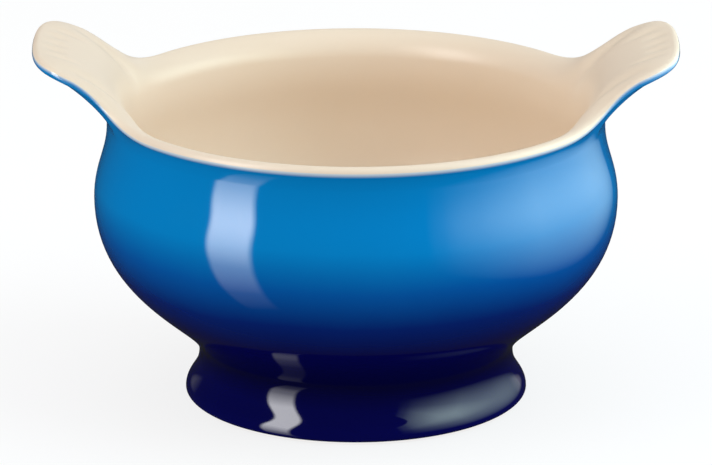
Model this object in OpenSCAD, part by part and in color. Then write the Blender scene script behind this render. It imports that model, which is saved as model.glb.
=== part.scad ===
// French onion soup crock: a round bowl on a hollow foot, with two tab handles swept out of its rim.
// Millimetres, +Z up. The origin is the centre of the foot on the table, and the handles lie along X.

/* [Bowl] */
// Outside diameter at the widest part of the belly
belly_d = 136; // [130:0.5:146]
// Height from the widest part of the belly up to the neck
belly_h = 20; // [17:0.1:24]
// Outside diameter at the neck below the rim
neck_d = 129; // [124:0.5:132]
// Height from the neck, where the handles are seated, up to the rim
neck_h = 6.6; // [5:0.1:9]
// Outside diameter of the rim
rim_d = 132.6; // [130:0.2:136]
// Height of the rim between the handles
rim_h = 80.4; // [74:0.1:88]
// Thickness of the wall at the neck and the belly
wall_t = 5; // [4.4:0.1:6]
// Thickness of the floor
floor_t = 6; // [4:0.5:9]
// Diameter of the flat middle of the floor
floor_d = 32; // [20:1:40]

/* [Foot] */
// Diameter of the pedestal at its widest
foot_d = 89.2; // [86:0.2:96]
// Height of the widest part of the pedestal
foot_edge_h = 1.8; // [1.4:0.1:3]
// Diameter of the waist between the pedestal and the bowl
waist_d = 82; // [78:0.5:85]
// Height of the waist, where the bowl sits on the pedestal
waist_h = 12; // [10:0.1:15]
// Outside diameter of the dry tread that stands on the table
tread_d = 81; // [78:0.5:83]
// Width of the dry tread
tread_w = 5; // [3.5:0.1:6]
// Diameter of the hollow under the bowl at its top
hollow_d = 64; // [56:0.5:67]

/* [Handles] */
// Length over both handle tips
span = 166.8; // [164:0.2:178]
// Height of the handle tips above the rim
tip_h = 15.2; // [12:0.1:18]
// Width of a handle across its sides
handle_w = 50.8; // [47:0.2:56]
// Distance from the axis of the bowl to the middle of a handle's sides
handle_side_x = 71.6; // [70:0.1:73]
// Height of the edge at a handle's sides above the rim
handle_side_h = 11.3; // [9:0.1:13]
// Angle by which each side of a handle closes towards the tip
side_taper = 10; // [6:1:16]
// Angle from the middle of a handle to the end of its root on the rim
root_angle = 38; // [36:0.5:44]
// Thickness of the rounded edge of the handles and the rim
edge_t = 2.8; // [2.4:0.1:3.4]
// Number of grip grooves on a handle
groove_count = 5; // [3:2:5]
// Spacing of the grip grooves at the tip
groove_pitch = 6.4; // [5.2:0.1:6.8]
// Depth of the grip grooves
groove_depth = 0.4; // [0.1:0.05:0.8]

/* [Glaze] */
// Thickness of the glaze coats
glaze_t = 0.5; // [0.3:0.05:0.6]
// Angle below level at which the blue coat meets the cream one on the round edge of the rim
rim_meet = 42; // [20:1:48]
// Angle above level at which they meet on the edge of the handles
handle_meet = 30; // [0:1:45]
// Radius of the glaze in the corner of the hollow
hollow_fillet = 3; // [1:0.5:5]
// Height above the table at which the glaze stops in the hollow
hollow_bare_h = 1.5; // [0.5:0.1:3]

/* [Hidden] */

// Fineness of the turned surfaces, and steps in the curves, over the top and round the edge of a section
$fn = 96;
curve_steps = 12;
top_steps = 9;
edge_steps = 4;
blue_edge_steps = 3;
under_steps = 5;

// Hairline between a coat on the bowl and the same coat on a handle
seam = 0.02;

// How far the curves of the outside keep upright at the neck, belly, waist and foot
neck_reach = 8.4;
belly_reach_up = 8.2;
belly_reach_down = 26;
waist_reach_up = 10;
waist_reach_down = 5.9;
foot_reach = 3.3;
// Share of its height over which the bottom edge of the foot keeps upright
foot_edge_keep = 0.65;
// How far the curves of the inside keep upright at the belly and level at the floor
inner_belly_reach = 24;
floor_reach = 18;

// How far the plan of a handle keeps its direction at the rim, at its sides and at its tip
rim_reach = 16.4;
side_reach_in = 9.5;
side_reach_out = 8.1;
tip_reach = 19.2;
// How much the edge of a handle climbs before and after its sides
side_rise_in = 5.3;
side_rise_out = 3.7;

// Lean of the lip, from level, at which its top comes level to the edge; other leans turn its edge with them
level_lean = 61;

edge_r = edge_t / 2;
rim_r = rim_d / 2;
neck_r = neck_d / 2;
neck_z = rim_h - neck_h;
belly_r = belly_d / 2;
belly_z = neck_z - belly_h;
waist_r = waist_d / 2;
foot_r = foot_d / 2;
tread_r = tread_d / 2;
tread_in_r = tread_r - tread_w;
hollow_r = hollow_d / 2;
floor_r = floor_d / 2;
floor_z = waist_h + floor_t;
inner_neck_r = neck_r - wall_t;
inner_belly_r = belly_r - wall_t;
rim_spine_r = rim_r - edge_r;
rim_spine_z = rim_h - edge_r;
lip_lean = atan2(rim_spine_z - neck_z, rim_spine_r - (neck_r + inner_neck_r) / 2);
lip_turn = lip_lean - level_lean;
groove_reach = groove_pitch * groove_count / 2;

// Sections of a handle, each value given at the rim, at the side and at the tip: slope of the top at
// the edge, turn of the edge into the underside, where the glazes meet, and reach of the curves
top_slope = [lip_turn, -4, 14];
edge_turn = [lip_turn - 55, -72, -70];
glaze_meet = [lip_turn - rim_meet, handle_meet, handle_meet];
top_reach_in = [3.5, 9, 12];
top_reach_out = [2.2, 5.5, 14];
under_reach_out = [1.6, 5, 10];
under_reach_in = [1.6, 5, 8];
// Steps of the top come closer together towards the edge, by this power
edge_gather = 1.5;
// Shares of the top's curve at which the grip grooves begin: the outermost ones run on towards the bowl
groove_from = 0.7;
outer_groove_from = 0.5;

// Columns of half a handle: over the grooves, round the corner and along the root
groove_columns = 2 * groove_count;
corner_columns = 4;
root_columns = 7;

// Colours of the clay and of the two glazes
clay = "wheat";
cream = "antiquewhite";
blue = "royalblue";

// Curves

function bezier(p, t) =
    pow(1 - t, 3) * p[0] + 3 * t * pow(1 - t, 2) * p[1] + 3 * t * t * (1 - t) * p[2] + pow(t, 3) * p[3];

function curve(p, first = 0, last = curve_steps, steps = curve_steps) =
    [for (i = [first:last]) bezier(p, i / steps)];

function smooth(t) = t * t * (3 - 2 * t);

function unit(v) = v / norm(v);

function reversed(list) = [for (i = [len(list) - 1:-1:0]) list[i]];

// A line without its first point, to follow one that ends there
function tail(list) = [for (i = [1:len(list) - 1]) list[i]];

// A profile moved to its left by d; an end that is nearly upright or level is taken to be so
function moved(line, d) =
    let (last = len(line) - 1)
    [
        for (i = [0:last])
            let (
                way = unit(line[min(i + 1, last)] - line[max(i - 1, 0)]),
                axis = [round(way[0]), round(way[1])],
                run = (i == 0 || i == last) && norm(axis) == 1 ? axis : way
            )
            line[i] + d * [-run[1], run[0]]
    ];

// Profiles of the glazed surface, as radius and height

inside_line = concat(
    [[0, floor_z]],
    curve([[floor_r, floor_z], [floor_r + floor_reach, floor_z],
        [inner_belly_r, belly_z - inner_belly_reach], [inner_belly_r, belly_z]]),
    curve([[inner_belly_r, belly_z], [inner_belly_r, belly_z + belly_reach_up],
        [inner_neck_r, neck_z - neck_reach], [inner_neck_r, neck_z]], 1));

outside_line = concat(
    curve([[neck_r, neck_z], [neck_r, neck_z - neck_reach],
        [belly_r, belly_z + belly_reach_up], [belly_r, belly_z]]),
    curve([[belly_r, belly_z], [belly_r, belly_z - belly_reach_down],
        [waist_r, waist_h + waist_reach_up], [waist_r, waist_h]], 1, 2 * curve_steps, 2 * curve_steps));

// The round bottom edge of the foot is glazed over the first half of its curve
foot_line = concat(
    curve([[waist_r, waist_h], [waist_r, waist_h - waist_reach_down],
        [foot_r, foot_edge_h + foot_reach], [foot_r, foot_edge_h]]),
    curve([[foot_r, foot_edge_h], [foot_r, foot_edge_h * (1 - foot_edge_keep)],
        [(foot_r + tread_r) / 2, 0], [tread_r, 0]], 1, curve_steps / 2));

// Plan and height of the middle of a handle's edge: from the rim to the side, and on to the tip

rim_end = [rim_spine_r * cos(root_angle), rim_spine_r * sin(root_angle), rim_spine_z];
side_end = [handle_side_x, handle_w / 2 - edge_r, rim_spine_z + handle_side_h];
tip_end = [span / 2 - edge_r, 0, rim_spine_z + tip_h];
side_way = [cos(side_taper), -sin(side_taper), 0];
root_spine = [rim_end, rim_end + rim_reach * [sin(root_angle), -cos(root_angle), 0],
    side_end - side_reach_in * side_way - [0, 0, side_rise_in], side_end];
tip_spine = [side_end, side_end + side_reach_out * side_way + [0, 0, side_rise_out],
    tip_end + [0, tip_reach, 0], tip_end];

// Way along the edge: 0 at the rim, 1 at the side, 2 at the tip
function spine(way) = way < 1 ? bezier(root_spine, way) : bezier(tip_spine, way - 1);

function along(values, way) =
    way < 1
        ? values[0] + (values[1] - values[0]) * smooth(way)
        : values[1] + (values[2] - values[1]) * smooth(way - 1);

// Way at which the edge lies y from the middle of the handle
function way_at(y, low = 1, high = 2, tries = 24) =
    let (middle = (low + high) / 2)
    tries == 0
        ? middle
        : spine(middle)[1] > y ? way_at(y, middle, high, tries - 1) : way_at(y, low, middle, tries - 1);

// Direction in plan that points out of the handle, square to its edge
function outward(way) =
    let (
        step = 0.001,
        run = spine(min(way + step, 2)) - spine(max(way - step, 0)),
        out = unit([-run[1], run[0], 0])
    )
    way == 0 ? [cos(root_angle), sin(root_angle), 0] : way == 2 ? [1, 0, 0] : out;

// Where the section at a way starts on the neck, at a radius r
function root_point(way, r) =
    let (spoke = r * unit([spine(way)[0], spine(way)[1]]))
    [spoke[0], spoke[1], neck_z];

function edge_point(way, d, angle) =
    spine(way) + (edge_r - d) * (cos(angle) * outward(way) + [0, 0, sin(angle)]);

// Depth of the grip grooves at a share t of the top's curve
function groove(way, t) =
    let (
        y = spine(way)[1],
        from = y > groove_reach - groove_pitch ? outer_groove_from : groove_from
    )
    way < 1 || y > groove_reach || t < from
        ? 0
        : groove_depth * pow(cos(180 * y / groove_pitch), 2) * pow(sin(180 * (t - from) / (1 - from)), 2);

// Lines of a section, d below the glazed surface: over the top, round the edge and along the underside

function top_line(way, d) =
    let (
        root = root_point(way, inner_neck_r + d),
        slope = along(top_slope, way),
        end = edge_point(way, d, 90 + slope),
        run = cos(slope) * outward(way) + [0, 0, sin(slope)],
        p = [root, root + [0, 0, along(top_reach_in, way)], end - along(top_reach_out, way) * run, end]
    )
    [
        for (i = [0:top_steps])
            let (t = 1 - pow(1 - i / top_steps, edge_gather))
            bezier(p, t) - [0, 0, groove(way, t)]
    ];

function edge_line(way, d, from, to, steps) =
    [for (i = [1:steps]) edge_point(way, d, from + (to - from) * i / steps)];

function under_line(way, d) =
    let (
        root = root_point(way, neck_r - d),
        turn = along(edge_turn, way),
        start = edge_point(way, d, turn),
        run = sin(turn) * outward(way) - [0, 0, cos(turn)],
        p = [start, start + along(under_reach_out, way) * run,
            root + [0, 0, along(under_reach_in, way)], root]
    )
    curve(p, 1, under_steps, under_steps);

function cream_line(way, d) =
    concat(
        top_line(way, d),
        edge_line(way, d, 90 + along(top_slope, way), along(glaze_meet, way), edge_steps));

function blue_line(way, d) =
    concat(
        [edge_point(way, d, along(glaze_meet, way))],
        edge_line(way, d, along(glaze_meet, way), along(edge_turn, way), blue_edge_steps),
        under_line(way, d));

// The section at the rim turned flat, as radius and height
function flat(line) = [for (p = line) [norm([p[0], p[1]]), p[2]]];

// Solids

// Ways of the columns of half a handle, from the rim to the tip
function half_ways() = concat(
    [for (i = [0:root_columns - 1]) i / root_columns],
    [for (i = [0:corner_columns - 1]) 1 + (way_at(groove_reach) - 1) * i / corner_columns],
    [for (i = [groove_columns:-1:1]) way_at(groove_reach * i / groove_columns)],
    [2]);

// Closed rings of points of a whole handle, from rings of its half on the +Y side
function both_sides(rings) = concat(
    rings,
    [for (i = [len(rings) - 2:-1:0]) [for (p = rings[i]) [p[0], -p[1], p[2]]]]);

// A solid through rings of points. The first points of a ring face out of the handle and the rest into it,
// and both are split along the same diagonals, so that a coat fits the clay under it
module loft(rings, outer_points) {
    m = len(rings[0]);
    n = len(rings);
    sides = [
        for (i = [0:n - 2], j = [0:m - 1])
            let (k = (j + 1) % m, here = i * m, next = (i + 1) * m)
            each j < outer_points
                ? [[here + j, here + k, next + k], [here + j, next + k, next + j]]
                : [[here + j, here + k, next + j], [here + k, next + k, next + j]]
    ];
    ends = [[for (j = [m - 1:-1:0]) j], [for (j = [0:m - 1]) (n - 1) * m + j]];
    polyhedron(points = [for (ring = rings) each ring], faces = concat(sides, ends));
}

// A coat between lines on the glazed surface and lines on the clay
module coat(glazed, bare) {
    rings = [for (i = [0:len(glazed) - 1]) concat(glazed[i], reversed(bare[i]))];
    loft(both_sides(rings), len(glazed[0]));
}

module handle_clay() {
    rings = [for (way = half_ways()) concat(cream_line(way, glaze_t), tail(blue_line(way, glaze_t)))];
    loft(both_sides(rings), len(rings[0]));
}

module handle_cream() {
    coat(
        [for (way = half_ways()) cream_line(way, 0)],
        [for (way = half_ways()) cream_line(way, glaze_t)]);
}

module handle_blue() {
    coat(
        [for (way = half_ways()) blue_line(way, 0)],
        [for (way = half_ways()) blue_line(way, glaze_t)]);
}

module on_both_handles() {
    children();
    rotate([0, 0, 180]) children();
}

// Space in the rim that the two handles fill, with a gap all round it
module seats(gap) {
    turn = gap / rim_spine_r * 180 / PI;
    inner_r = min(inner_neck_r, rim_r - edge_t) - wall_t;
    outer_r = max(neck_r, rim_r) + wall_t;
    on_both_handles()
        rotate_extrude(angle = 2 * (root_angle + turn), start = -root_angle - turn)
            translate([inner_r, neck_z - gap])
                square([outer_r - inner_r, rim_h]);
}

module bowl() {
    color(clay)
        difference() {
            rotate_extrude()
                polygon(concat(
                    moved(inside_line, -glaze_t),
                    tail(flat(cream_line(0, glaze_t))),
                    tail(flat(blue_line(0, glaze_t))),
                    tail(moved(outside_line, -glaze_t)),
                    [[0, waist_h]]));
            seats(0);
        }
}

module foot_ring() {
    color(clay)
        rotate_extrude()
            polygon(concat(
                moved(foot_line, -glaze_t),
                [[tread_r, 0], [tread_in_r, 0], [hollow_r, waist_h]]));
}

module right_handle() {
    color(clay) handle_clay();
}

module left_handle() {
    color(clay) rotate([0, 0, 180]) handle_clay();
}

module inside_glaze() {
    color(cream) {
        difference() {
            rotate_extrude()
                polygon(concat(
                    inside_line,
                    tail(flat(cream_line(0, 0))),
                    reversed(flat(cream_line(0, glaze_t))),
                    tail(reversed(moved(inside_line, -glaze_t)))));
            seats(seam);
        }
        on_both_handles() handle_cream();
    }
}

module outside_glaze() {
    color(blue) {
        difference() {
            rotate_extrude()
                polygon(concat(
                    flat(blue_line(0, 0)),
                    tail(outside_line),
                    tail(foot_line),
                    reversed(moved(foot_line, -glaze_t)),
                    tail(reversed(moved(outside_line, -glaze_t))),
                    tail(reversed(flat(blue_line(0, glaze_t))))));
            seats(seam);
        }
        on_both_handles() handle_blue();
    }
}

module underfoot_glaze() {
    wall = unit([hollow_r - tread_in_r, waist_h]);
    start = [tread_in_r, 0] + wall * hollow_bare_h / wall[1];
    inner = glaze_t * [-wall[1], wall[0]];
    color(blue)
        rotate_extrude()
            polygon(concat(
                [start, [hollow_r, waist_h], [0, waist_h], [0, waist_h - glaze_t]],
                curve([
                    [hollow_r - glaze_t - hollow_fillet, waist_h - glaze_t],
                    [hollow_r - glaze_t, waist_h - glaze_t],
                    [hollow_r, waist_h] + inner - wall * glaze_t,
                    [hollow_r, waist_h] + inner - wall * (glaze_t + hollow_fillet)
                ]),
                [start + inner]));
}

bowl();
foot_ring();
left_handle();
right_handle();
inside_glaze();
outside_glaze();
underfoot_glaze();
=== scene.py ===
"""Looks of a french onion soup crock: blue and cream glaze coats over its clay, in a white studio."""

import math

import bmesh
import bpy
from mathutils import Matrix, Vector


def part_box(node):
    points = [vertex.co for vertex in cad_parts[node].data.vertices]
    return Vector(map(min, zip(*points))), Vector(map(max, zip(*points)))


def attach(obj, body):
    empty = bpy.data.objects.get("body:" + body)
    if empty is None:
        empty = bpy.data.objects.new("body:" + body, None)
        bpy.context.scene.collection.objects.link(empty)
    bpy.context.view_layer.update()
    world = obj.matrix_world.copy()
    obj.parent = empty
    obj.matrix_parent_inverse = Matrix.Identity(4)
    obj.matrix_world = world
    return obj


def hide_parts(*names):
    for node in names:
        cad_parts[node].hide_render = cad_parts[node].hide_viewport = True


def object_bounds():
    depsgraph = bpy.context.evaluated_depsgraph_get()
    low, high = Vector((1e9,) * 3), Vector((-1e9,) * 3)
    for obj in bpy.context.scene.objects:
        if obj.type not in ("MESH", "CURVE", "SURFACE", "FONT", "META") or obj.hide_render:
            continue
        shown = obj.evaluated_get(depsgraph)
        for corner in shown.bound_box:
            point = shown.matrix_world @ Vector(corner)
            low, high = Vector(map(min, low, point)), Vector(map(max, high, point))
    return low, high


bl_info = {
    "name": "French Onion Soup Crock",
    "version": (1, 0, 0),
    "blender": (4, 5, 0),
    "location": "3D View > Sidebar > Crock",
    "description": "Glazes a footed stoneware soup crock and sets it in a white studio",
    "category": "Object",
}

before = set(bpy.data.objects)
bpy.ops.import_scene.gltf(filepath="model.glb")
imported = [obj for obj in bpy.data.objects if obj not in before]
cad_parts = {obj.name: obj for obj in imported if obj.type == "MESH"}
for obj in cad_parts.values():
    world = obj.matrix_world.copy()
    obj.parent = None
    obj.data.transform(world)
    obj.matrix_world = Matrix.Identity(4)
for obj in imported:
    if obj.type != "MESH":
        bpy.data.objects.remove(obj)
CAD_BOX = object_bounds()

MM = 0.001

# Width of the photograph that the camera repeats, in pixels
PHOTO_WIDTH = 712

# Faces of a coat that meet at a wider angle keep a sharp edge
SHARP_ANGLE = math.radians(50.0)


def linear(hex_colour):
    """An sRGB hex colour as linear red, green, blue and alpha."""
    values = [int(hex_colour[i:i + 2], 16) / 255 for i in (0, 2, 4)]
    return tuple(v / 12.92 if v <= 0.04045 else ((v + 0.055) / 1.055) ** 2.4 for v in values) + (1.0,)


def length(name, description, millimetres):
    """A length that a user can set, with its default in millimetres."""
    return bpy.props.FloatProperty(
        name=name, description=description, default=millimetres * MM, min=0.0, precision=4, unit="LENGTH")


def angle(name, description, degrees):
    """An angle that a user can set, with its default in degrees."""
    return bpy.props.FloatProperty(
        name=name, description=description, default=math.radians(degrees), subtype="ANGLE")


def colour(name, description, hex_colour):
    """A colour that a user can set, with its default as an sRGB hex value."""
    return bpy.props.FloatVectorProperty(
        name=name, description=description, default=linear(hex_colour), size=4, min=0.0, max=1.0,
        subtype="COLOR")


class CrockSizes(bpy.types.PropertyGroup):
    """Sizes of the glazed surface. Those that the frame shows are read from it."""

    belly_d: length("Belly diameter", "Outside diameter at the widest part of the belly",
                    (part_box("outside_glaze")[1].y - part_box("outside_glaze")[0].y) / MM)
    belly_h: length("Belly height", "Height of the widest part of the belly", 53.8)
    neck_d: length("Neck diameter", "Outside diameter at the neck below the rim", 129.0)
    neck_h: length("Neck height", "Height of the neck, where the handles are seated",
                   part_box("right_handle")[0].z / MM)
    rim_d: length("Rim diameter", "Outside diameter of the rim", 132.6)
    rim_h: length("Rim height", "Height of the rim between the handles", 80.4)
    wall_t: length("Wall thickness", "Thickness of the wall at the neck and the belly", 5.0)
    floor_t: length("Floor thickness", "Thickness of the floor", 6.0)
    floor_d: length("Floor diameter", "Diameter of the flat middle of the floor", 32.0)
    foot_d: length("Foot diameter", "Diameter of the pedestal at its widest", 89.2)
    foot_edge_h: length("Foot edge height", "Height of the widest part of the pedestal", 1.8)
    waist_d: length("Waist diameter", "Diameter of the waist between the pedestal and the bowl", 82.0)
    waist_h: length("Waist height", "Height of the waist, where the bowl sits on the pedestal",
                    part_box("foot_ring")[1].z / MM)
    tread_d: length("Tread diameter", "Outside diameter of the dry tread on the table", 81.0)
    tread_w: length("Tread width", "Width of the dry tread", 5.0)
    hollow_d: length("Hollow diameter", "Diameter of the hollow under the bowl at its top", 64.0)
    span: length("Span", "Length over both handle tips", (CAD_BOX[1].x - CAD_BOX[0].x) / MM)
    tip_h: length("Tip height", "Height of the handle tips", 95.6)
    handle_w: length("Handle width", "Width of a handle across its sides", 50.8)
    handle_side_x: length("Handle side", "Distance from the axis to the middle of a handle's sides", 71.6)
    handle_side_h: length("Handle side height", "Height of the edge at a handle's sides", 91.7)
    side_taper: angle("Side taper", "Angle by which each side of a handle closes towards the tip", 10.0)
    root_angle: angle("Root angle", "Angle from the middle of a handle to the end of its root", 38.0)
    edge_t: length("Edge thickness", "Thickness of the rounded edge of the handles and the rim", 2.8)
    groove_count: bpy.props.IntProperty(
        name="Grooves", description="Number of grip grooves on a handle", default=5, min=1)
    groove_pitch: length("Groove spacing", "Spacing of the grip grooves at the tip", 6.4)
    groove_depth: length("Groove depth", "Depth of the grip grooves", 0.4)
    glaze_t: length("Glaze thickness", "Thickness of the glaze coats", 0.5)
    rim_meet: angle("Rim meet", "Angle below level at which blue meets cream on the rim's edge", 0.0)
    handle_meet: angle("Handle meet", "Angle above level at which they meet on the handles' edge", 30.0)
    rim_run_out: length("Rim run-out", "Width over which the blue runs out on the rim's edge", 1.6)
    handle_run_out: length("Handle run-out", "Width over which the blue runs out on the handles' edge", 0.7)
    hollow_fillet: length("Hollow fillet", "Radius of the glaze in the corner of the hollow", 3.0)
    hollow_bare_h: length("Hollow bare height", "Height at which the glaze stops in the hollow", 1.5)


class CrockColours(bpy.types.PropertyGroup):
    """Colours of the glazes and the clay."""

    azure: colour("Azure", "Blue glaze on the shoulder and the belly", "027fc4")
    cobalt: colour("Cobalt", "Blue glaze below the belly", "0253a0")
    navy: colour("Navy", "Blue glaze above the waist", "02216d")
    midnight: colour("Midnight", "Blue glaze under the belly and on the foot", "040548")
    ink: colour("Ink", "Blue glaze at the waist, where it is darkest", "030330")
    # Break: the thin glaze where blue meets cream, made paler with a painted highlight on the edge
    break_and_highlight: colour("Break", "Thin blue where it meets the cream", "d2dce2")
    cream: colour("Cream", "Cream glaze", "eedcc8")
    warm_cream: colour("Warm cream", "Cream glaze where it lies thicker", "ead6be")
    clay: colour("Clay", "Bare fired clay of the tread", "cdb592")
    clay_grit: colour("Grit", "Dark grit in the bare clay", "7d6347")


class Form:
    """The glazed surface, worked out from the sizes. Lines run as they would under a potter's finger."""

    # How far the curves keep their direction at the neck, belly, waist, foot and floor
    neck_reach = 8.4 * MM
    belly_reach_up = 8.2 * MM
    belly_reach_down = 26.0 * MM
    waist_reach_up = 10.0 * MM
    waist_reach_down = 5.9 * MM
    foot_reach = 3.3 * MM
    foot_edge_keep = 0.65
    inner_belly_reach = 24.0 * MM
    floor_reach = 18.0 * MM

    # How far the plan of a handle keeps its direction, and how much its edge climbs round the sides
    rim_reach = 16.4 * MM
    side_reach_in = 9.5 * MM
    side_reach_out = 8.1 * MM
    tip_reach = 19.2 * MM
    side_rise_in = 5.3 * MM
    side_rise_out = 3.7 * MM

    # Sections of a handle, each value given at the rim, at the side and at the tip
    top_slope = [math.radians(a) for a in (0.0, -4.0, 14.0)]
    edge_turn = [math.radians(a) for a in (-55.0, -72.0, -70.0)]
    top_reach_in = [v * MM for v in (3.5, 9.0, 12.0)]
    top_reach_out = [v * MM for v in (2.2, 5.5, 14.0)]
    under_reach_out = [v * MM for v in (0.9, 5.0, 10.0)]
    under_reach_in = [v * MM for v in (0.9, 5.0, 8.0)]
    edge_gather = 1.5
    groove_from = 0.78
    outer_groove_from = 0.62

    # Steps along the curves, and columns of half a handle and of the rim between the handles
    wall_steps = 26
    shoulder_steps = 16
    belly_steps = 34
    foot_steps = 18
    foot_edge_steps = 6
    top_steps = 40
    cream_edge_steps = 14
    blue_edge_steps = 6
    under_steps = 18
    root_columns = 24
    corner_columns = 12
    groove_columns = 40
    rim_columns = 44

    # How often a search halves its range
    halvings = 30

    def __init__(self, sizes):
        self.s = sizes
        self.edge_r = sizes.edge_t / 2
        self.neck_r = sizes.neck_d / 2
        self.inner_neck_r = self.neck_r - sizes.wall_t
        self.groove_reach = sizes.groove_pitch * sizes.groove_count / 2
        self.meet = [-sizes.rim_meet, sizes.handle_meet, sizes.handle_meet]
        self.run_out = [sizes.rim_run_out, sizes.handle_run_out, sizes.handle_run_out]
        spine_r = sizes.rim_d / 2 - self.edge_r
        cos_root = math.cos(sizes.root_angle)
        sin_root = math.sin(sizes.root_angle)
        rim_end = Vector((spine_r * cos_root, spine_r * sin_root, sizes.rim_h - self.edge_r))
        side_end = Vector((
            sizes.handle_side_x, sizes.handle_w / 2 - self.edge_r, sizes.handle_side_h - self.edge_r))
        tip_end = Vector((sizes.span / 2 - self.edge_r, 0.0, sizes.tip_h - self.edge_r))
        side_way = Vector((math.cos(sizes.side_taper), -math.sin(sizes.side_taper), 0.0))
        self.root_spine = (
            rim_end,
            rim_end + self.rim_reach * Vector((sin_root, -cos_root, 0.0)),
            side_end - self.side_reach_in * side_way - Vector((0.0, 0.0, self.side_rise_in)),
            side_end)
        self.tip_spine = (
            side_end,
            side_end + self.side_reach_out * side_way + Vector((0.0, 0.0, self.side_rise_out)),
            tip_end + Vector((0.0, self.tip_reach, 0.0)),
            tip_end)

    @staticmethod
    def bezier(p, t):
        u = 1 - t
        return u ** 3 * p[0] + 3 * t * u * u * p[1] + 3 * t * t * u * p[2] + t ** 3 * p[3]

    @classmethod
    def curve(cls, points, steps, last=None):
        """Points along a curve, without the one it starts from."""
        corners = [Vector(p) for p in points]
        return [cls.bezier(corners, i / steps) for i in range(1, (last or steps) + 1)]

    @staticmethod
    def along(values, way):
        """A value that changes smoothly from the rim, way 0, to the side, way 1, and the tip, way 2."""
        first = 0 if way < 1 else 1
        t = way - first
        return values[first] + (values[first + 1] - values[first]) * t * t * (3 - 2 * t)

    def spine(self, way):
        """Middle of the rounded edge."""
        return self.bezier(self.root_spine, way) if way < 1 else self.bezier(self.tip_spine, way - 1)

    def way_at(self, y):
        """Way at which the edge lies y from the middle of the handle."""
        low, high = 1.0, 2.0
        for _ in range(self.halvings):
            middle = (low + high) / 2
            if self.spine(middle).y > y:
                low = middle
            else:
                high = middle
        return low

    def outward(self, way):
        """Direction in plan that points out of the handle, square to its edge."""
        if way == 0:
            return Vector((math.cos(self.s.root_angle), math.sin(self.s.root_angle), 0.0))
        if way == 2:
            return Vector((1.0, 0.0, 0.0))
        step = 0.001
        run = self.spine(min(way + step, 2)) - self.spine(max(way - step, 0))
        return Vector((-run.y, run.x, 0.0)).normalized()

    def root_azimuth(self, way):
        """Azimuth on the neck at which the section at a way starts."""
        p = self.spine(way)
        return math.atan2(p.y, p.x)

    def root_point(self, way, r):
        a = self.root_azimuth(way)
        return Vector((r * math.cos(a), r * math.sin(a), self.s.neck_h))

    def edge_point(self, way, turn):
        return self.spine(way) + self.edge_r * (
            math.cos(turn) * self.outward(way) + Vector((0.0, 0.0, math.sin(turn))))

    def groove(self, way, t):
        """Depth of the grip grooves at a share of the top's curve. The outer ones start nearer to the bowl."""
        y = self.spine(way).y
        first = self.outer_groove_from if y > self.groove_reach - self.s.groove_pitch else self.groove_from
        if way < 1 or y > self.groove_reach or t < first:
            return 0.0
        across = math.cos(math.pi * y / self.s.groove_pitch) ** 2
        fade = math.sin(math.pi * (t - first) / (1 - first)) ** 2
        return self.s.groove_depth * across * fade

    def edge_line(self, way, start, end, steps):
        return [self.edge_point(way, start + (end - start) * i / steps) for i in range(1, steps + 1)]

    def cream_section(self, way):
        """From the neck over the top of the lip or handle to where the blue begins."""
        slope = self.along(self.top_slope, way)
        root = self.root_point(way, self.inner_neck_r)
        end = self.edge_point(way, math.pi / 2 + slope)
        run = math.cos(slope) * self.outward(way) + Vector((0.0, 0.0, math.sin(slope)))
        p = (root, root + Vector((0.0, 0.0, self.along(self.top_reach_in, way))),
             end - self.along(self.top_reach_out, way) * run, end)
        line = []
        for i in range(1, self.top_steps + 1):
            t = 1 - (1 - i / self.top_steps) ** self.edge_gather
            line.append(self.bezier(p, t) - Vector((0.0, 0.0, self.groove(way, t))))
        return line + self.edge_line(
            way, math.pi / 2 + slope, self.along(self.meet, way), self.cream_edge_steps)

    def blue_section(self, way):
        """From where the cream ends round the edge and along the underside to the neck."""
        meet = self.along(self.meet, way)
        turn = self.along(self.edge_turn, way)
        root = self.root_point(way, self.neck_r)
        start = self.edge_point(way, turn)
        run = math.sin(turn) * self.outward(way) - Vector((0.0, 0.0, math.cos(turn)))
        p = (start, start + self.along(self.under_reach_out, way) * run,
             root + Vector((0.0, 0.0, self.along(self.under_reach_in, way))), root)
        return ([self.edge_point(way, meet)] + self.edge_line(way, meet, turn, self.blue_edge_steps)
                + self.curve(p, self.under_steps))

    def inside_profile(self):
        """Radius and height from the edge of the flat floor up to the neck."""
        s = self.s
        floor = (s.floor_d / 2, s.waist_h + s.floor_t)
        belly = (s.belly_d / 2 - s.wall_t, s.belly_h)
        neck = (self.inner_neck_r, s.neck_h)
        wall = (floor, (floor[0] + self.floor_reach, floor[1]),
                (belly[0], belly[1] - self.inner_belly_reach), belly)
        shoulder = (belly, (belly[0], belly[1] + self.belly_reach_up),
                    (neck[0], neck[1] - self.neck_reach), neck)
        return ([Vector(floor)] + self.curve(wall, self.wall_steps)
                + self.curve(shoulder, self.shoulder_steps))

    def outside_profile(self):
        """Radius and height from the neck down to where the glaze stops under the foot's edge."""
        s = self.s
        neck = (self.neck_r, s.neck_h)
        belly = (s.belly_d / 2, s.belly_h)
        waist = (s.waist_d / 2, s.waist_h)
        foot = (s.foot_d / 2, s.foot_edge_h)
        tread = (s.tread_d / 2, 0.0)
        shoulder = (neck, (neck[0], neck[1] - self.neck_reach),
                    (belly[0], belly[1] + self.belly_reach_up), belly)
        bowl = (belly, (belly[0], belly[1] - self.belly_reach_down),
                (waist[0], waist[1] + self.waist_reach_up), waist)
        pedestal = (waist, (waist[0], waist[1] - self.waist_reach_down),
                    (foot[0], foot[1] + self.foot_reach), foot)
        edge = (foot, (foot[0], foot[1] * (1 - self.foot_edge_keep)),
                ((foot[0] + tread[0]) / 2, 0.0), tread)
        return (self.curve(shoulder, self.shoulder_steps) + self.curve(bowl, self.belly_steps)
                + self.curve(pedestal, self.foot_steps)
                + self.curve(edge, 2 * self.foot_edge_steps, self.foot_edge_steps))

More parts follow.
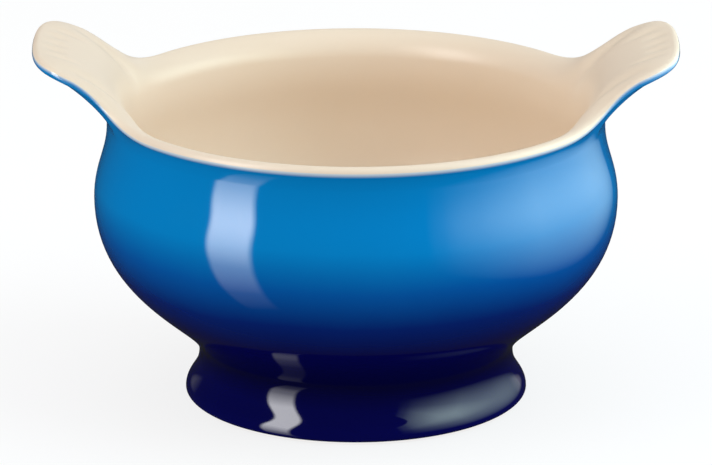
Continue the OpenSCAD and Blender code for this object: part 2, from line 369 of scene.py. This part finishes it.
    def hollow_profile(self):
        """Radius and height from the tread up the wall of the hollow and in along its ceiling."""
        s = self.s
        top = Vector((s.hollow_d / 2, s.waist_h))
        foot = Vector((s.tread_d / 2 - s.tread_w, 0.0))
        wall = (top - foot).normalized()
        inner = s.glaze_t * Vector((-wall.y, wall.x))
        start = foot + wall * s.hollow_bare_h / wall.y + inner
        corner = top + inner - wall * (s.glaze_t + s.hollow_fillet)
        ceiling = Vector((top.x - s.glaze_t - s.hollow_fillet, top.y - s.glaze_t))
        rounding = (corner, top + inner - wall * s.glaze_t, Vector((top.x - s.glaze_t, ceiling.y)), ceiling)
        middle = Vector((0.0, ceiling.y))
        return ([start.lerp(corner, i / self.foot_steps) for i in range(self.foot_steps + 1)]
                + self.curve(rounding, self.foot_edge_steps)
                + [ceiling.lerp(middle, i / self.foot_steps) for i in range(1, self.foot_steps)])

    def half_ways(self):
        """Ways of the columns of half a handle, from the rim to the tip."""
        corner = self.way_at(self.groove_reach)
        ways = [i / self.root_columns for i in range(self.root_columns)]
        ways += [1 + (corner - 1) * i / self.corner_columns for i in range(self.corner_columns)]
        for i in range(self.groove_columns, 0, -1):
            ways.append(self.way_at(self.groove_reach * i / self.groove_columns))
        return ways + [2.0]

    def columns(self):
        """All columns round the crock: the way, the side of a handle and the turn about the axis of each."""
        ways = self.half_ways()
        rim_turn = math.pi - 2 * self.s.root_angle
        found = []
        for turn in (0.0, math.pi):
            found += [(way, 1, turn) for way in reversed(ways)]
            found += [(0.0, 1, turn + rim_turn * i / self.rim_columns) for i in range(1, self.rim_columns)]
            found += [(way, -1, turn + math.pi) for way in ways[:-1]]
        return found

    def lip_rings(self, section):
        """Rings of points round the lip and over both handles, from the lines of one section."""
        lines = {}
        placed = []
        for way, side, turn in self.columns():
            if way not in lines:
                lines[way] = section(way)
            spin = Matrix.Rotation(turn, 3, "Z")
            placed.append([spin @ Vector((p.x, side * p.y, p.z)) for p in lines[way]])
        return [list(ring) for ring in zip(*placed)]

    def turned_rings(self, profile):
        """Rings of points of a turned wall, on the same columns as the lip."""
        azimuths = [turn + side * self.root_azimuth(way) for way, side, turn in self.columns()]
        return [[Vector((p.x * math.cos(a), p.x * math.sin(a), p.y)) for a in azimuths] for p in profile]

    def covers_and_highlights(self, rings):
        """How far the blue has come to its full depth: 0 on the first ring, 1 past the run-out. Its pale start
        also marks a painted highlight on the edge.
        """
        widths = [self.along(self.run_out, way) for way, _, _ in self.columns()]
        run = [0.0] * len(widths)
        found = [run]
        for ring, before in zip(rings[1:], rings):
            run = [d + (p - q).length for d, p, q in zip(run, ring, before)]
            found.append([min(d / width, 1.0) for d, width in zip(run, widths)])
        return found


def pull_rings(name, rings, covers_and_highlights=None, close=False):
    """Pulls a circle through rings of points, as a wall is pulled on the wheel, and closes its end.

    Where the cover of the glaze is given, each point keeps it; its pale start also marks a painted highlight.
    """
    bpy.ops.object.select_all(action="DESELECT")
    bpy.ops.mesh.primitive_circle_add(vertices=len(rings[0]), radius=rings[0][0].xy.length)
    piece = bpy.context.object
    piece.name = piece.data.name = name
    bpy.ops.object.mode_set(mode="EDIT")
    bm = bmesh.from_edit_mesh(piece.data)
    column = bm.verts.layers.int.new("column")
    cover_and_highlight = bm.verts.layers.float.new("cover_and_highlight")
    for number, vert in enumerate(bm.verts):
        vert[column] = number
    for number, ring in enumerate(rings):
        if number:
            bpy.ops.mesh.extrude_edges_move()
        bm = bmesh.from_edit_mesh(piece.data)
        column = bm.verts.layers.int["column"]
        cover_and_highlight = bm.verts.layers.float["cover_and_highlight"]
        for vert in bm.verts:
            if vert.select:
                vert.co = ring[vert[column]]
                vert[cover_and_highlight] = covers_and_highlights[number][vert[column]] if covers_and_highlights else 1.0
        bmesh.update_edit_mesh(piece.data)
    if close:
        bpy.ops.mesh.extrude_edges_move()
        bpy.ops.mesh.merge(type="CENTER")
    bpy.ops.object.mode_set(mode="OBJECT")
    piece.data.attributes.remove(piece.data.attributes["column"])
    return piece


def turn_faces(piece, seen_from):
    """Turns all faces to the side that a point in the air looks at."""
    seen = sum(f.normal.dot(seen_from - f.center) * f.area for f in piece.data.polygons)
    if seen < 0:
        bpy.ops.object.mode_set(mode="EDIT")
        bpy.ops.mesh.select_all(action="SELECT")
        bpy.ops.mesh.flip_normals()
        bpy.ops.object.mode_set(mode="OBJECT")


def thicken(piece, thickness):
    """Gives a coat its thickness towards the clay, and smooths all but the cut at its ends."""
    coat = piece.modifiers.new("Coat", "SOLIDIFY")
    coat.thickness = thickness
    coat.offset = -1.0
    coat.use_even_offset = True
    bpy.ops.object.modifier_apply(modifier=coat.name)
    bpy.ops.object.shade_smooth_by_angle(angle=SHARP_ANGLE)


def add(tree, kind, inputs=None, stops=(), **settings):
    """Adds a node with its settings, the stops of its ramp, and the values or links of its inputs."""
    node = tree.nodes.new(kind)
    for name, value in settings.items():
        setattr(node, name, value)
    for number, (place, tint) in enumerate(stops):
        ramp = node.color_ramp.elements
        stop = ramp[number] if number < 2 else ramp.new(place)
        stop.position = place
        stop.color = tint
    for name, value in (inputs or {}).items():
        if isinstance(value, bpy.types.NodeSocket):
            tree.links.new(value, node.inputs[name])
        else:
            node.inputs[name].default_value = value
    return node


def new_material(name):
    """An empty node material, and its tree."""
    material = bpy.data.materials.new(name)
    material.use_nodes = True
    material.node_tree.nodes.clear()
    return material, material.node_tree


def blue_stoneware_glaze(sizes, colours):
    """Sprayed and fired glossy glaze: clear blue that darkens towards the foot and thins at the lip, with a
    painted highlight on the edge where it meets the cream.
    """
    material, tree = new_material("Blue stoneware glaze")
    place = add(tree, "ShaderNodeTexCoord").outputs["Object"]
    height = add(tree, "ShaderNodeSeparateXYZ", {0: place}).outputs["Z"]

    # Clouds of the spray, 30 mm across, lift and lower the gradient by up to 1.5 mm
    cloud_size = 30.0 * MM
    cloud = add(tree, "ShaderNodeTexNoise", {"Vector": place, "Scale": 1 / cloud_size, "Detail": 3.0})
    sway = add(tree, "ShaderNodeMapRange", {
        "Value": cloud.outputs["Fac"], "To Min": -1.5 * MM, "To Max": 1.5 * MM})
    level = add(tree, "ShaderNodeMath", {0: height, 1: sway.outputs["Result"]}, operation="ADD")
    share = add(tree, "ShaderNodeMapRange", {"Value": level.outputs[0], "From Max": sizes.tip_h})
    body = add(tree, "ShaderNodeValToRGB", {"Fac": share.outputs["Result"]}, stops=(
        (0.08, colours.midnight),
        (0.15, colours.ink),
        (0.29, colours.midnight),
        (0.39, colours.navy),
        (0.5, colours.cobalt),
        (0.61, colours.azure)))

    # The blue runs out towards the cream: the glaze thins there, and the pale break also paints a highlight on
    # the edge
    cover_and_highlight = add(tree, "ShaderNodeAttribute", attribute_name="cover_and_highlight")
    tint = add(tree, "ShaderNodeMix", {
        "Factor": cover_and_highlight.outputs["Fac"], "A": colours.break_and_highlight, "B": body.outputs["Color"]},
        data_type="RGBA")

    # Glaze settles in soft swells about 9 mm across, far too shallow to feel
    swell_size = 9.0 * MM
    swell = add(tree, "ShaderNodeTexNoise", {"Vector": place, "Scale": 1 / swell_size, "Detail": 1.0})
    bump = add(tree, "ShaderNodeBump", {
        "Height": swell.outputs["Fac"], "Strength": 0.05, "Distance": 0.4 * MM})
    gloss = add(tree, "ShaderNodeMapRange", {"Value": cloud.outputs["Fac"], "To Min": 0.03, "To Max": 0.06})
    shader = add(tree, "ShaderNodeBsdfPrincipled", {
        "Base Color": tint.outputs["Result"], "Roughness": gloss.outputs["Result"], "IOR": 1.5,
        "Normal": bump.outputs["Normal"]})
    add(tree, "ShaderNodeOutputMaterial", {"Surface": shader.outputs["BSDF"]})
    return material


def cream_stoneware_glaze(colours):
    """Poured and fired glossy glaze: warm cream, a little deeper where it lies thicker."""
    material, tree = new_material("Cream stoneware glaze")
    place = add(tree, "ShaderNodeTexCoord").outputs["Object"]

    # Thicker and thinner runs of the pour, 40 mm across
    run_size = 40.0 * MM
    run = add(tree, "ShaderNodeTexNoise", {"Vector": place, "Scale": 1 / run_size, "Detail": 4.0})
    tint = add(tree, "ShaderNodeMix", {
        "Factor": run.outputs["Fac"], "A": colours.cream, "B": colours.warm_cream}, data_type="RGBA")

    swell_size = 8.0 * MM
    swell = add(tree, "ShaderNodeTexNoise", {"Vector": place, "Scale": 1 / swell_size, "Detail": 1.0})
    bump = add(tree, "ShaderNodeBump", {
        "Height": swell.outputs["Fac"], "Strength": 0.05, "Distance": 0.4 * MM})
    gloss = add(tree, "ShaderNodeMapRange", {"Value": run.outputs["Fac"], "To Min": 0.34, "To Max": 0.42})
    shader = add(tree, "ShaderNodeBsdfPrincipled", {
        "Base Color": tint.outputs["Result"], "Roughness": gloss.outputs["Result"], "IOR": 1.42,
        "Normal": bump.outputs["Normal"]})
    add(tree, "ShaderNodeOutputMaterial", {"Surface": shader.outputs["BSDF"]})
    return material


def bare_stoneware(colours):
    """Fired clay without glaze: buff and dry, with fine dark grit and a slight tooth."""
    material, tree = new_material("Bare stoneware")
    place = add(tree, "ShaderNodeTexCoord").outputs["Object"]

    # Grit of about 0.5 mm, a third of which shows
    grit_size = 0.5 * MM
    grit = add(tree, "ShaderNodeTexVoronoi", {"Vector": place, "Scale": 1 / (3 * grit_size)})
    speck = add(tree, "ShaderNodeMapRange", {
        "Value": grit.outputs["Distance"], "From Min": 0.12, "From Max": 0.3, "To Min": 1.0, "To Max": 0.0})
    patch_size = 12.0 * MM
    patch = add(tree, "ShaderNodeTexNoise", {"Vector": place, "Scale": 1 / patch_size, "Detail": 5.0})
    amount = add(tree, "ShaderNodeMath", {
        0: speck.outputs["Result"], 1: patch.outputs["Fac"]}, operation="MULTIPLY")
    tint = add(tree, "ShaderNodeMix", {
        "Factor": amount.outputs[0], "A": colours.clay, "B": colours.clay_grit}, data_type="RGBA")

    tooth_size = 0.6 * MM
    tooth = add(tree, "ShaderNodeTexNoise", {"Vector": place, "Scale": 1 / tooth_size, "Detail": 3.0})
    bump = add(tree, "ShaderNodeBump", {
        "Height": tooth.outputs["Fac"], "Strength": 0.4, "Distance": 0.1 * MM})
    shader = add(tree, "ShaderNodeBsdfPrincipled", {
        "Base Color": tint.outputs["Result"], "Roughness": 0.85, "Normal": bump.outputs["Normal"]})
    add(tree, "ShaderNodeOutputMaterial", {"Surface": shader.outputs["BSDF"]})
    return material


def finish_coat(piece, seen_from, material, node):
    """Thickens and glazes a coat, and puts it in place of its node."""
    turn_faces(piece, seen_from)
    thicken(piece, bpy.context.scene.crock_sizes.glaze_t)
    piece.data.materials.append(material)
    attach(piece, "root")
    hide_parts(node)


class CROCK_OT_inside_coat(bpy.types.Operator):
    """Pull the cream coat from the floor up the wall, over the lip and along the tops of the handles"""

    bl_idname = "crock.inside_coat"
    bl_label = "Cream Coat Inside"

    def execute(self, context):
        sizes = context.scene.crock_sizes
        form = Form(sizes)
        rings = form.turned_rings(form.inside_profile()) + form.lip_rings(form.cream_section)
        rings.reverse()
        piece = pull_rings("cream_coat", rings, close=True)
        above = Vector((0.0, 0.0, 3 * sizes.tip_h))
        material = cream_stoneware_glaze(context.scene.crock_colours)
        finish_coat(piece, above, material, "inside_glaze")
        return {"FINISHED"}


class CROCK_OT_outside_coat(bpy.types.Operator):
    """Pull the blue coat from the edge of the lip and the handles down the belly and over the foot"""

    bl_idname = "crock.outside_coat"
    bl_label = "Blue Coat Outside"

    def execute(self, context):
        sizes = context.scene.crock_sizes
        form = Form(sizes)
        rings = form.lip_rings(form.blue_section) + form.turned_rings(form.outside_profile())
        piece = pull_rings("blue_coat", rings, form.covers_and_highlights(rings))
        below = Vector((0.0, 0.0, -3 * sizes.tip_h))
        material = blue_stoneware_glaze(sizes, context.scene.crock_colours)
        finish_coat(piece, below, material, "outside_glaze")
        return {"FINISHED"}


class CROCK_OT_underfoot_coat(bpy.types.Operator):
    """Pull the blue coat in the hollow of the foot, from above the dry tread to the ceiling's middle"""

    bl_idname = "crock.underfoot_coat"
    bl_label = "Blue Coat Underfoot"

    def execute(self, context):
        sizes = context.scene.crock_sizes
        form = Form(sizes)
        piece = pull_rings("underfoot_coat", form.turned_rings(form.hollow_profile()), close=True)
        below = Vector((0.0, 0.0, -sizes.tip_h))
        material = blue_stoneware_glaze(sizes, context.scene.crock_colours)
        finish_coat(piece, below, material, "underfoot_glaze")
        return {"FINISHED"}


class CROCK_OT_clay(bpy.types.Operator):
    """Give the clay pieces their bare stoneware, which shows on the dry tread"""

    bl_idname = "crock.clay"
    bl_label = "Bare Clay"

    def execute(self, context):
        material = bare_stoneware(context.scene.crock_colours)
        for name in ("bowl", "foot_ring", "left_handle", "right_handle"):
            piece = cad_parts[name]
            piece.data.materials.clear()
            piece.data.materials.append(material)
        return {"FINISHED"}


class CROCK_OT_stage(bpy.types.Operator):
    """Set the crock on a white floor with soft boxes on both sides, and place the camera"""

    bl_idname = "crock.stage"
    bl_label = "Studio"

    # Where the photograph was taken from, and the scale of the crock in it
    camera_elevation = math.radians(17.33)
    camera_distance = 1.6
    aim_height = 43.2 * MM
    pixels_per_metre = 3840.0

    # How white the glaze mirrors the backdrop behind the crock, at its left and right, and the dark room
    mirrored_left = 0.3
    mirrored_right = 0.8
    mirrored_room = 0.02

    # Where the backdrop goes from its left to its right, where it starts behind the crock and where above
    # the floor, each as the part of a direction along X, Y and Z
    backdrop_sides = (-0.15, 0.15)
    backdrop_start = (0.72, 0.92)
    backdrop_foot = (-0.06, 0.02)

    # Light of the white surroundings on the crock
    fill_light = 0.7

    # The floor's own glow to the camera, and the paint that takes the light and the shadow
    floor_size = 4.0
    floor_glow = "e4e4e4"
    floor_paint = "848484"

    # Brightness of the mirrored panels at shares of their width and of their height
    right_across = ((0.0, 0.0), (0.1, 0.08), (0.25, 0.4), (0.42, 0.92), (0.65, 0.72), (1.0, 0.2))
    right_upward = ((0.06, 0.0), (0.39, 0.38), (0.67, 1.0))
    left_across = ((0.08, 0.0), (0.18, 1.0), (0.79, 1.0), (0.9, 0.0))
    left_upward = ((0.0, 0.0), (0.23, 0.05), (0.41, 0.25), (0.5, 0.55), (0.64, 1.0), (0.91, 1.0), (1.0, 0.0))

    def execute(self, context):
        scene = context.scene
        scene.view_settings.view_transform = "Standard"
        self.place_camera(scene)
        self.lay_floor()
        self.light_world(scene)
        self.hang_lamp("right_panel", size=(0.43, 0.2), place=(0.145, -0.018, 0.07), radiance=5.3,
                       tint="e2fff6", mirrored=(self.right_across, self.right_upward))
        self.hang_lamp("left_strip", size=(0.22, 1.1), place=(-0.36, -0.278, 0.0), radiance=8.0,
                       mirrored=(self.left_across, self.left_upward))
        self.hang_lamp("right_softbox", size=(0.7, 0.7), place=(0.63, -0.17, 0.5), radiance=2.3,
                       tint="daf2fa")
        self.hang_lamp("left_softbox", size=(0.7, 0.7), place=(-0.63, -0.29, 0.44), radiance=1.0)
        return {"FINISHED"}

    def place_camera(self, scene):
        camera = bpy.data.cameras.new("camera")
        camera.sensor_width = 36.0
        camera.lens = self.pixels_per_metre * self.camera_distance / PHOTO_WIDTH * camera.sensor_width
        camera.clip_end = 20.0
        seat = bpy.data.objects.new("camera", camera)
        back = Vector((0.0, -math.cos(self.camera_elevation), math.sin(self.camera_elevation)))
        seat.location = Vector((0.0, 0.0, self.aim_height)) + back * self.camera_distance
        seat.rotation_euler = back.to_track_quat("Z", "Y").to_euler()
        scene.collection.objects.link(seat)
        scene.camera = seat

    def white_share(self, tree, mirrored):
        """How white a ray sees the surroundings: fully from the camera, less in the glaze."""
        path = add(tree, "ShaderNodeLightPath").outputs
        seen = add(tree, "ShaderNodeMath", {
            0: path["Is Camera Ray"], 1: path["Is Transmission Ray"]}, operation="MAXIMUM")
        return add(tree, "ShaderNodeMath", {
            0: path["Is Glossy Ray"], 1: mirrored, 2: seen.outputs[0]}, operation="MULTIPLY_ADD")

    def mirrored_backdrop(self, tree):
        """How white the glaze mirrors each side: the backdrop stands behind the crock, above the floor."""
        way = add(tree, "ShaderNodeTexCoord").outputs["Generated"]
        way = add(tree, "ShaderNodeSeparateXYZ", {0: way}).outputs
        white = add(tree, "ShaderNodeMapRange", {
            "Value": way["X"], "From Min": self.backdrop_sides[0], "From Max": self.backdrop_sides[1],
            "To Min": self.mirrored_left, "To Max": self.mirrored_right})
        behind = add(tree, "ShaderNodeMapRange", {
            "Value": way["Y"], "From Min": self.backdrop_start[0], "From Max": self.backdrop_start[1],
            "To Max": white.outputs["Result"]})
        above = add(tree, "ShaderNodeMapRange", {
            "Value": way["Z"], "From Min": self.backdrop_foot[0], "From Max": self.backdrop_foot[1]})
        return add(tree, "ShaderNodeMath", {
            0: behind.outputs["Result"], 1: above.outputs["Result"], 2: self.mirrored_room},
            operation="MULTIPLY_ADD")

    def lay_floor(self):
        bpy.ops.object.select_all(action="DESELECT")
        bpy.ops.mesh.primitive_grid_add(x_subdivisions=8, y_subdivisions=8, size=self.floor_size)
        floor = bpy.context.object
        floor.name = floor.data.name = "floor"
        material, tree = new_material("White studio floor")
        glow = add(tree, "ShaderNodeEmission", {
            "Color": linear(self.floor_glow),
            "Strength": self.white_share(tree, self.mirrored_room).outputs[0]})
        paint = add(tree, "ShaderNodeBsdfDiffuse", {"Color": linear(self.floor_paint)})
        both = add(tree, "ShaderNodeAddShader", {0: glow.outputs[0], 1: paint.outputs[0]})
        add(tree, "ShaderNodeOutputMaterial", {"Surface": both.outputs[0]})
        floor.data.materials.append(material)
        floor.visible_glossy = False
        floor.visible_diffuse = False
        floor.visible_shadow = False

    def light_world(self, scene):
        world = bpy.data.worlds.new("white studio")
        world.use_nodes = True
        tree = world.node_tree
        tree.nodes.clear()
        seen = self.white_share(tree, self.mirrored_backdrop(tree).outputs[0])
        diffuse = add(tree, "ShaderNodeLightPath").outputs["Is Diffuse Ray"]
        strength = add(tree, "ShaderNodeMath", {
            0: diffuse, 1: self.fill_light, 2: seen.outputs[0]}, operation="MULTIPLY_ADD")
        sky = add(tree, "ShaderNodeBackground", {
            "Color": linear("ffffff"), "Strength": strength.outputs[0]})
        add(tree, "ShaderNodeOutputWorld", {"Surface": sky.outputs[0]})
        scene.world = world

    def hang_lamp(self, name, size, place, radiance, tint="ffffff", mirrored=None):
        """A panel of light that faces the crock.

        One that is mirrored has its brightness across and upward given, and only shows in the glaze. The
        others only light the crock.
        """
        lamp = bpy.data.lights.new(name, "AREA")
        lamp.shape = "RECTANGLE"
        lamp.size, lamp.size_y = size
        # A flat lamp is as bright as a quarter of its power over its area
        lamp.energy = 4 * radiance * lamp.size * lamp.size_y
        lamp.color = linear(tint)[:3]
        if mirrored:
            self.shade_lamp(lamp, *mirrored)
        seat = bpy.data.objects.new(name, lamp)
        seat.location = place
        way = seat.location - Vector((0.0, 0.0, seat.location.z if mirrored else self.aim_height))
        seat.rotation_euler = way.to_track_quat("Z", "Y").to_euler()
        seat.visible_camera = False
        seat.visible_diffuse = not mirrored
        seat.visible_glossy = bool(mirrored)
        bpy.context.scene.collection.objects.link(seat)

    def shade_lamp(self, lamp, across, upward):
        """Fades a panel of light towards its edges."""
        lamp.use_nodes = True
        tree = lamp.node_tree
        tree.nodes.clear()
        place = add(tree, "ShaderNodeNewGeometry").outputs["Parametric"]
        share = add(tree, "ShaderNodeSeparateXYZ", {0: place}).outputs
        fades = []
        for axis, stops in (("X", across), ("Y", upward)):
            greys = [(at, (grey, grey, grey, 1.0)) for at, grey in stops]
            fade = add(tree, "ShaderNodeValToRGB", {"Fac": share[axis]}, stops=greys)
            fades.append(fade.outputs["Color"])
        both = add(tree, "ShaderNodeMath", {0: fades[0], 1: fades[1]}, operation="MULTIPLY")
        glow = add(tree, "ShaderNodeEmission", {"Strength": both.outputs[0]})
        add(tree, "ShaderNodeOutputLight", {"Surface": glow.outputs[0]})


class CROCK_PT_panel(bpy.types.Panel):
    """Sizes, colours and steps of the crock"""

    bl_idname = "CROCK_PT_panel"
    bl_label = "Soup Crock"
    bl_space_type = "VIEW_3D"
    bl_region_type = "UI"
    bl_category = "Crock"

    def draw(self, context):
        for group in (context.scene.crock_sizes, context.scene.crock_colours):
            column = self.layout.column(align=True)
            for name in group.__annotations__:
                column.prop(group, name)
        for operator in OPERATORS:
            self.layout.operator(operator.bl_idname)


OPERATORS = (
    CROCK_OT_inside_coat,
    CROCK_OT_outside_coat,
    CROCK_OT_underfoot_coat,
    CROCK_OT_clay,
    CROCK_OT_stage,
)
CLASSES = (CrockSizes, CrockColours, *OPERATORS, CROCK_PT_panel)


def register():
    for cls in CLASSES:
        bpy.utils.register_class(cls)
    bpy.types.Scene.crock_sizes = bpy.props.PointerProperty(type=CrockSizes)
    bpy.types.Scene.crock_colours = bpy.props.PointerProperty(type=CrockColours)


def unregister():
    del bpy.types.Scene.crock_colours
    del bpy.types.Scene.crock_sizes
    for cls in reversed(CLASSES):
        bpy.utils.unregister_class(cls)


def main():
    register()
    bpy.ops.crock.inside_coat()
    bpy.ops.crock.outside_coat()
    bpy.ops.crock.underfoot_coat()
    bpy.ops.crock.clay()
    bpy.ops.crock.stage()


if __name__ == "__main__":
    main()
